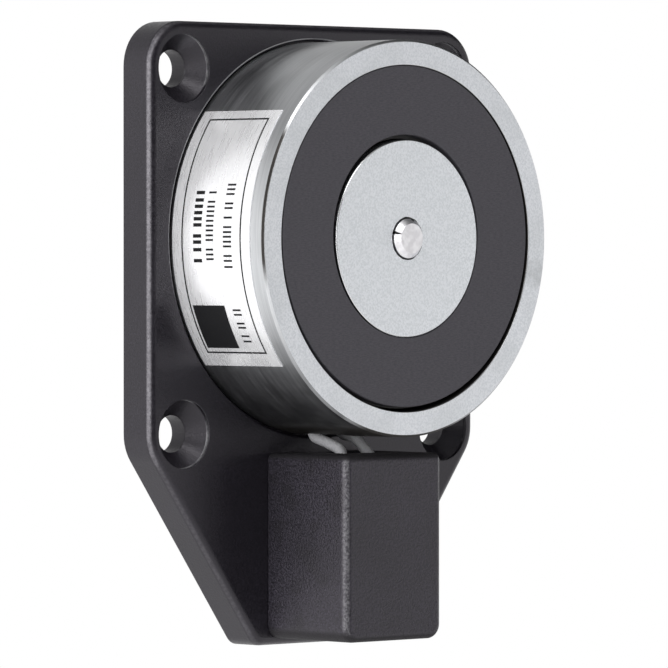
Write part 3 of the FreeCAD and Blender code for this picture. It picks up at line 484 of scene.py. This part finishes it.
def pot_painted_shade(skin, beside):
    """Mask of the painted shade on the pot's side above and below the label, away from its front, and
    under the pot.
    """
    dark_patches = skin.both(skin.spread(skin.noise(0.07, 1), 0.42, 0.68, 0.0, 0.5), beside,
                       skin.above(skin.math("ABSOLUTE", skin.height), 12.0, 22.0),
                       skin.above(skin.depth, POT_FRONT + 5.0, POT_FRONT + 12.0))
    under = skin.both(skin.spread(skin.noise(0.16, 2), 0.38, 0.62, 0.8, 1.0), beside,
                      skin.spread(skin.height, -31.0, -11.0, 0.92, 0.0))
    return skin.math("MAXIMUM", dark_patches, under)


def chamfer_dark_reflection(skin):
    """Mask of the painted dark reflection on the left of the pot's front chamfer."""
    turn = skin.turn_from_left()
    inset = POT_RADIUS - POT_CHAMFER
    behind = POT_FRONT + POT_CHAMFER
    return skin.both(skin.above(turn, -0.27, -0.10), skin.below(turn, 0.52, 0.64),
                     skin.above(skin.radius(), inset + 0.02, inset + 0.08),
                     skin.below(skin.depth, behind, behind + 0.1))


def pot_shade(skin, beside):
    """Mask of the painted shade in the pot's bore and round where the leads leave it."""
    bore = skin.both(skin.below(skin.radius(), POT_BORE + 0.02, POT_BORE + 0.10), beside)
    leads = skin.both(skin.below(skin.height, -33.5, -30.5), beside,
                      skin.below(skin.math("ABSOLUTE", skin.across), 9.0, 15.0))
    return skin.math("MAXIMUM", bore, leads)


def pot_steel(name):
    """Galvanised pot: ground rim with a smudge at its right, painted shade on its side, underside and
    bore, a painted dark reflection on the left of its chamfer, and painted highlights on its edges.
    """
    skin = Finish(name, Metallic=1.0)
    normal, edges = skin.rounded(0.1)
    colour, roughness, height = steel_surface(skin, POT_SIDE, POT_RIM, (0.30, 0.42), (0.34, 0.46))
    beside = skin.math("SUBTRACT", 1.0, skin.facing_front())
    shade = pot_shade(skin, beside)
    smudge = skin.both(skin.spot(*RIM_SMUDGE), skin.spread(skin.noise(0.5, 1), *WIDE, 0.12, 0.34))
    colour = skin.paint(colour, (skin.spread(skin.noise(0.12, 3), 0.4, 0.7, 0.0, 0.25), CLOUDED_STEEL),
                        (pot_painted_shade(skin, beside), PAINTED_SHADE_STEEL),
                        (skin.both(skin.specks(6.0, 0.09), 0.4), SPECK),
                        (smudge, SMUDGED_STEEL),
                        (skin.both(edges, 0.6), STEEL_EDGE_HIGHLIGHT),
                        (skin.math("MAXIMUM", chamfer_dark_reflection(skin), shade), PAINTED_DARK_STEEL))
    return skin.finish(colour, skin.blend(shade, roughness, 0.6), skin.bump(height, 0.0025, normal))


def core_steel(name):
    """Galvanised core with a ground face, painted shade round the mouth of its bore, and painted
    highlights on its edges.
    """
    skin = Finish(name, Metallic=1.0)
    normal, edges = skin.rounded(0.1)
    colour, roughness, height = steel_surface(skin, CORE_SIDE, CORE_FACE, (0.2, 0.3), (0.34, 0.46))
    uneven = skin.spread(skin.noise(0.7), *NARROW, 0.0, 0.14)
    # Painted shade round the mouth of the bore, about the pin
    mouth = skin.below(skin.math("SUBTRACT", skin.radius(), uneven), 3.62, 3.78)
    colour = skin.paint(colour, (skin.both(skin.specks(6.0, 0.08), 0.4), SPECK),
                        (skin.both(edges, 0.6), STEEL_EDGE_HIGHLIGHT), (mouth, PAINTED_MOUTH_SHADE))
    return skin.finish(colour, roughness, skin.bump(height, 0.005, normal))


def pin_steel(name):
    """Turned stainless pin: rings on its end, painted highlights on its edges, and the dark nicks that
    its edge has on one side.
    """
    skin = Finish(name, Metallic=1.0)
    normal, edges = skin.rounded(0.08)
    radius = skin.radius()
    rings = skin.noise(1.0, 3, (2.0, 8.0, 2.0))
    cloud = skin.noise(0.8, 3)
    off = skin.math("ABSOLUTE", skin.math("SUBTRACT", skin.turn_from_left(), PIN_CUT_TURN))
    cut = skin.both(skin.math("LESS_THAN", off, skin.spread(radius, 2.4, 3.5, 0.0, 0.075)),
                    skin.math("GREATER_THAN", radius, PIN_CUT_START))
    colour = skin.paint(skin.tint(skin.above(cloud, 0.35, 0.7), *PIN),
                        (skin.both(edges, 0.5), STEEL_EDGE_HIGHLIGHT),
                        (skin.math("MAXIMUM", cut, skin.spot(*PIN_NICK)), NICKED_PIN))
    height = skin.math("ADD", skin.both(rings, 0.3), cloud)
    return skin.finish(colour, skin.spread(rings, *WIDE, 0.30, 0.42), skin.bump(height, 0.015, normal))


def matt_board(name):
    """Dark fibre board of the coil's cover ring, with faint fibres."""
    skin = Finish(name, IOR=1.45)
    normal, edges = skin.rounded(0.15)
    fibres = skin.noise(1.2, 4, (1.0, 1.0, 5.0))
    grain = skin.noise(5.0, 2)
    colour = skin.paint(skin.tint(skin.above(fibres, *NARROW), *FIBRE_BOARD),
                        (skin.both(edges, 0.4), WORN_BOARD))
    return skin.finish(colour, skin.spread(grain, *WIDE, 0.55, 0.75), skin.bump(grain, 0.012, normal))


def label_foil(name):
    """Silver foil with a fine brushing along the label."""
    skin = Finish(name, Metallic=0.55)
    brushing = skin.noise(1.0, 1, (0.3, 2.2, 0.3))
    waves = skin.noise(0.14, 2)
    colour = skin.tint(skin.above(brushing, *WIDE), *FOIL)
    return skin.finish(colour, skin.spread(brushing, *WIDE, 0.27, 0.31), skin.bump(waves, 0.03))


def label_ink(name):
    """Black print with slightly uneven cover."""
    skin = Finish(name, Specular_IOR_Level=0.15)
    cover = skin.noise(6.0, 2)
    colour = skin.tint(skin.above(cover, 0.5, 0.8), *INK)
    return skin.finish(colour, skin.spread(cover, *WIDE, 0.5, 0.65), skin.bump(cover, 0.004))


def plated_metal(name, tones, pitch=0.0):
    """Plated or drawn metal with fine scratches, threaded about the Y axis if a pitch is given."""
    skin = Finish(name, Metallic=1.0)
    normal, edges = skin.rounded(0.08)
    scratches = skin.noise(1.5, 4, (1.0, 6.0, 1.0))
    height = skin.both(scratches, 0.06)
    if pitch:
        turn = skin.math("DIVIDE", skin.math("ARCTAN2", skin.height, skin.across), 2 * math.pi)
        along = skin.math("ADD", turn, skin.math("DIVIDE", skin.depth, pitch))
        height = skin.math("ADD", height, skin.both(skin.math("PINGPONG", along, 0.5), pitch))
    worn_and_lit_edge = tuple(min(1.0, 1.25 * part) for part in tones[1])
    colour = skin.paint(skin.tint(skin.above(scratches, *WIDE), *tones), (skin.both(edges, 0.5), worn_and_lit_edge))
    return skin.finish(colour, skin.spread(scratches, *WIDE, 0.22, 0.38), skin.bump(height, 0.5, normal))


def plain_polymer(name, tones, rough, gloss=0.0):
    """Moulded or extruded plastic or rubber with fine grain and soft edges."""
    skin = Finish(name, IOR=1.5, Coat_Weight=gloss)
    normal, edges = skin.rounded(0.12)
    grain = skin.noise(5.0, 2)
    worn_and_lit_edge = tuple(min(1.0, 1.5 * part) for part in tones[1])
    colour = skin.paint(skin.tint(skin.above(skin.noise(0.4, 3), *WIDE), *tones),
                        (skin.both(edges, 0.2), worn_and_lit_edge))
    return skin.finish(colour, skin.spread(grain, *WIDE, *rough), skin.bump(grain, 0.008, normal))


def lead_insulation(name):
    """Matt light grey insulation."""
    skin = Finish(name, IOR=1.45)
    grain = skin.noise(3.0, 3)
    colour = skin.tint(skin.above(grain, *NARROW), *INSULATION)
    return skin.finish(colour, skin.spread(grain, *WIDE, 0.5, 0.65), skin.bump(grain, 0.01))


def wound_copper(name):
    """Enamelled wire, wound in close turns side by side."""
    skin = Finish(name, Metallic=1.0, Coat_Weight=0.5)
    turns = skin.math("PINGPONG", skin.math("DIVIDE", skin.depth, COPPER_PITCH), 0.5)
    colour = skin.tint(skin.above(turns, 0.05, 0.35), *COPPER)
    roughness = skin.spread(skin.noise(0.6, 3), *WIDE, 0.25, 0.4)
    return skin.finish(colour, roughness, skin.bump(turns, 0.3))


def diode_case(name):
    """Black moulded case with one pale band, and tinned leads."""
    skin = Finish(name)
    grain = skin.noise(6.0, 2)
    band = skin.below(skin.math("ABSOLUTE", skin.math("SUBTRACT", skin.across, 1.6)), 0.3, 0.36)
    lead = skin.above(skin.math("ABSOLUTE", skin.across), 2.5, 2.52)
    skin.feed(skin.shader.inputs["Metallic"], lead)
    colour = skin.paint((0.018, 0.018, 0.019), (band, (0.62, 0.62, 0.60)), (lead, (0.72, 0.72, 0.70)))
    return skin.finish(colour, skin.spread(grain, *WIDE, 0.35, 0.5), skin.bump(grain, 0.01))


def make_materials():
    """One material for each of the record's slots."""
    recipes = {
        "plate_plastic": (plate_plastic,),
        "cover_plastic": (cover_plastic,),
        "pot_steel": (pot_steel,),
        "core_steel": (core_steel,),
        "bobbin_plastic": (plain_polymer, BLACK_POLYMER, (0.4, 0.55)),
        "winding_copper": (wound_copper,),
        "tape_film": (plain_polymer, YELLOW_FILM, (0.2, 0.3), 0.5),
        "ring_plastic": (matt_board,),
        "pin_steel": (pin_steel,),
        "spring_steel": (plated_metal, SPRING_STEEL),
        "screw_zinc": (plated_metal, ZINC, THREAD_PITCH),
        "label_foil": (label_foil,),
        "lead_insulation": (lead_insulation,),
        "block_plastic": (plain_polymer, NATURAL_POLYMER, (0.38, 0.52)),
        "tube_brass": (plated_metal, BRASS),
        "diode_epoxy": (diode_case,),
        "grommet_rubber": (plain_polymer, BLACK_POLYMER, (0.6, 0.8)),
    }
    return {slot: recipe(slot, *settings) for slot, (recipe, *settings) in recipes.items()}


def dress_nodes(materials):
    """Gives each CAD node the material of its slot in the record."""
    slots = {row["node"]: row["material_slot"] for row in frame["record"]["subparts"]}
    for name, node in frame["nodes"].items():
        node.data.materials.clear()
        node.data.materials.append(materials[slots[name]])


def join_rings(mesh, rings):
    """Closed skin over a row of rings with as many points each."""
    sides = len(rings[0])
    for first, second in zip(rings, rings[1:]):
        for corner in range(sides):
            following = (corner + 1) % sides
            mesh.faces.new((first[corner], first[following], second[following], second[corner]))
    mesh.faces.new(rings[0][::-1])
    mesh.faces.new(rings[-1])


def finish_piece(mesh, name, material, body, smooth=True):
    """Turns a bmesh into a piece that rides on a body."""
    bmesh.ops.recalc_face_normals(mesh, faces=mesh.faces[:])
    data = bpy.data.meshes.new(name)
    mesh.to_mesh(data)
    mesh.free()
    data.materials.append(material)
    if smooth:
        data.shade_smooth()
    piece = bpy.data.objects.new(name, data)
    bpy.context.scene.collection.objects.link(piece)
    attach(piece, body)
    return piece


def drum_point(radius, degrees, depth):
    """Point on a cylinder round the magnet's axis, its angle measured up from the left side."""
    turn = math.radians(degrees)
    return Vector((-radius * math.cos(turn), -depth, radius * math.sin(turn)))


def add_patch(mesh, angles, depths):
    """Adds a thin closed patch of print that follows the drum."""
    low, high = angles
    near, far = depths
    steps = max(1, math.ceil(abs(high - low) / INK_STEP))
    section = ((0, near), (0, far), (INK_THICKNESS, far), (INK_THICKNESS, near))
    rings = []
    for step in range(steps + 1):
        degrees = low + (high - low) * step / steps
        rings.append([
            mesh.verts.new(drum_point(LABEL_RADIUS + lift, degrees, PLATE_FACE + depth))
            for lift, depth in section
        ])
    join_rings(mesh, rings)


def add_stroke_row(mesh, dice, middle, height, width, top, bottom):
    """Row of plain strokes in groups, which reads as a line of print from afar."""
    per_degree = math.radians(1) * LABEL_RADIUS / MM
    place = top
    while place - width / per_degree > bottom:
        add_patch(mesh, (place - width / per_degree, place),
                  ((middle - height / 2) * MM, (middle + height / 2) * MM))
        place -= (width + dice.choice(STROKE_GAPS)) / per_degree


def make_label_print(ink):
    """Ruled frame, rows of plain upright strokes and one dark field, in place of words and marks."""
    mesh = bmesh.new()
    near, far = LABEL_FRAME_DEPTHS
    low, high = LABEL_FRAME_ANGLES
    line_angle = math.degrees(LABEL_LINE / LABEL_RADIUS)
    for depth in (near, far):
        add_patch(mesh, (low, high), (depth, depth + LABEL_LINE))
    for angle in (low, high):
        add_patch(mesh, (angle, angle + line_angle), (near, far + LABEL_LINE))
    add_patch(mesh, LABEL_FIELD_ANGLES, LABEL_FIELD_DEPTHS)
    dice = random.Random(STROKE_SEED)
    for row in STROKE_ROWS:
        add_stroke_row(mesh, dice, *row)
    finish_piece(mesh, "label_print", ink, "housing", smooth=False)


def make_spring(steel):
    """Coil spring in place of the CAD one."""
    low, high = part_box("ejector_spring")
    coil = span("ejector_spring").x / 2 - SPRING_WIRE / 2
    length = high.y - low.y - SPRING_WIRE
    section = [2 * math.pi * corner / WIRE_SIDES for corner in range(WIRE_SIDES)]
    mesh = bmesh.new()
    rings = []
    for step in range(SPRING_TURNS * SPRING_STEPS + 1):
        turn = 2 * math.pi * step / SPRING_STEPS
        outward = Vector((math.cos(turn), 0, math.sin(turn)))
        middle = outward * coil
        middle.y = high.y - SPRING_WIRE / 2 - length * step / (SPRING_TURNS * SPRING_STEPS)
        wire = [outward * math.cos(side) + Vector((0, math.sin(side), 0)) for side in section]
        rings.append([mesh.verts.new(middle + SPRING_WIRE / 2 * point) for point in wire])
    join_rings(mesh, rings)
    spring = finish_piece(mesh, "ejector_spring_coil", steel, "housing")
    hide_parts("ejector_spring")
    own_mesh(spring)


def studio_place(turn, rise, away):
    """Point at a distance from the holder, at a turn from straight in front and a rise in degrees."""
    level = away * math.cos(math.radians(rise))
    across = level * math.sin(math.radians(turn))
    outward = -level * math.cos(math.radians(turn))
    return Vector((across, outward, away * math.sin(math.radians(rise))))


def look_inward(thing, place):
    """Puts a lamp or card at a place, facing the holder and unseen by the camera."""
    thing.location = place
    thing.rotation_euler = (-place).to_track_quat("-Z", "Y").to_euler()
    thing.visible_camera = False
    bpy.context.scene.collection.objects.link(thing)


def flat_panel(name, size, material):
    """Flat rectangular object of one face."""
    mesh = bmesh.new()
    corners = ((-0.5, -0.5), (0.5, -0.5), (0.5, 0.5), (-0.5, 0.5))
    mesh.faces.new([mesh.verts.new((size[0] * across, size[1] * along, 0)) for across, along in corners])
    data = bpy.data.meshes.new(name)
    mesh.to_mesh(data)
    mesh.free()
    data.materials.append(material)
    return bpy.data.objects.new(name, data)


def make_softbox(name, turn, rise, away, size, radiance):
    """Rectangular soft lamp; its power follows from its size and how bright it looks."""
    data = bpy.data.lights.new(name, "AREA")
    data.shape = "RECTANGLE"
    data.size, data.size_y = size
    data.energy = math.pi * size[0] * size[1] * radiance
    look_inward(bpy.data.objects.new(name, data), studio_place(turn, rise, away))


def make_flag(name, turn, rise, away, size):
    """Black card, seen only in reflections."""
    cloth = Finish(name + "_cloth", Roughness=1.0)
    cloth.finish(cloth.tint(cloth.noise(0.02), (0.01, 0.01, 0.01), (0.02, 0.02, 0.02)))
    flag = flat_panel(name, size, cloth.material)
    flag.visible_diffuse = False
    flag.visible_shadow = False
    look_inward(flag, studio_place(turn, rise, away))


def make_floor():
    """Plain white floor, well below the holder as it hangs on its wall."""
    skin = Finish("floor_paint", Roughness=0.8, Emission_Color=(1, 1, 1, 1))
    colour = skin.tint(skin.noise(0.01, 2), (0.80, 0.80, 0.80), (0.84, 0.84, 0.84))
    outward = skin.spread(skin.length(skin.across, skin.depth), *FLOOR_GLOW_REACH, *FLOOR_GLOW)
    skin.feed(skin.shader.inputs["Emission Strength"], skin.both(skin.seen_background(), outward))
    floor = flat_panel("floor", (FLOOR_SIZE, FLOOR_SIZE), skin.finish(colour))
    floor.location.z = -FLOOR_DROP
    bpy.context.scene.collection.objects.link(floor)


def make_world():
    """White surroundings, with a darker sky in reflections and less light for matt surfaces."""
    world = bpy.data.worlds.new("studio")
    world.use_nodes = True
    sky = Tree(world.node_tree)
    rise = sky.split(sky.node("ShaderNodeTexCoord").outputs["Generated"])[2]
    in_gloss = sky.spread(rise, *SKY_RISES, 1.0, SKY_IN_GLOSS, "LINEAR")
    camera_ray = sky.node("ShaderNodeLightPath").outputs["Is Camera Ray"]
    shown = sky.blend(camera_ray, in_gloss, 1.0)
    background = world.node_tree.nodes["Background"]
    sky.feed(background.inputs["Color"], (1, 1, 1, 1))
    sky.feed(background.inputs["Strength"], sky.blend(sky.seen_background(), MATT_LIGHT, shown))
    bpy.context.scene.world = world


def make_camera():
    """Camera at the photograph's place, angle and focal length."""
    data = bpy.data.cameras.new("camera")
    data.lens = LENS
    data.sensor_width = SENSOR
    camera = bpy.data.objects.new("camera", data)
    forward = Vector((math.sin(VIEW_AZIMUTH) * math.cos(VIEW_PITCH),
                      math.cos(VIEW_AZIMUTH) * math.cos(VIEW_PITCH),
                      -math.sin(VIEW_PITCH)))
    camera.location = CAMERA_PLACE
    camera.rotation_euler = forward.to_track_quat("-Z", "Y").to_euler()
    bpy.context.scene.collection.objects.link(camera)
    bpy.context.scene.camera = camera


def main():
    """Builds the looks round the frame."""
    bpy.context.scene.view_settings.view_transform = "Standard"
    make_camera()
    make_world()
    make_floor()
    for name, form in SOFTBOXES.items():
        make_softbox(name, **form)
    for name, form in FLAGS.items():
        make_flag(name, **form)
    materials = make_materials()
    dress_nodes(materials)
    make_spring(materials["spring_steel"])
    make_label_print(label_ink("label_ink"))


main()
